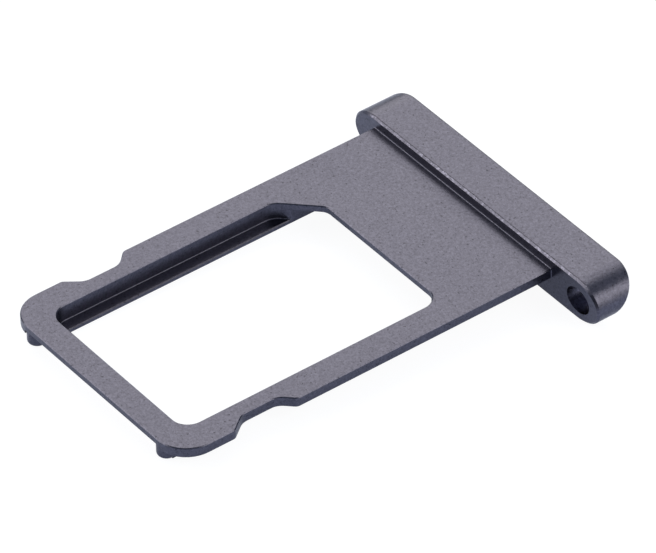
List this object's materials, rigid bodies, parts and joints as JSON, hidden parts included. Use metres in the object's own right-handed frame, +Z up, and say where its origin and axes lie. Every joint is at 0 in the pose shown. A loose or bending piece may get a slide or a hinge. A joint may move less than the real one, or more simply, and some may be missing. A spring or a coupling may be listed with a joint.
{
  "type": "sim card tray",
  "caption": "Flat metal tray with a framed card window, notched sides, two front pegs and a round-ended head bar with a pin hole, for holding a SIM card in a tablet or phone.",
  "frame": {"origin": "middle of the plate's width on its top face, where it meets the head's front face", "axes": "+Z up out of the plate's top face, +Y out of the device through the head, so the plate runs along -Y, +X towards the end of the head with the eject hole"},
  "size_m": [0.0158, 0.0203, 0.002],
  "materials": {
    "anodised_aluminium": "bead-blasted and anodised dark grey, satin"
  },
  "bodies": {
    "root": {"sim_tray": "anodised_aluminium"}
  },
  "joints": []
}
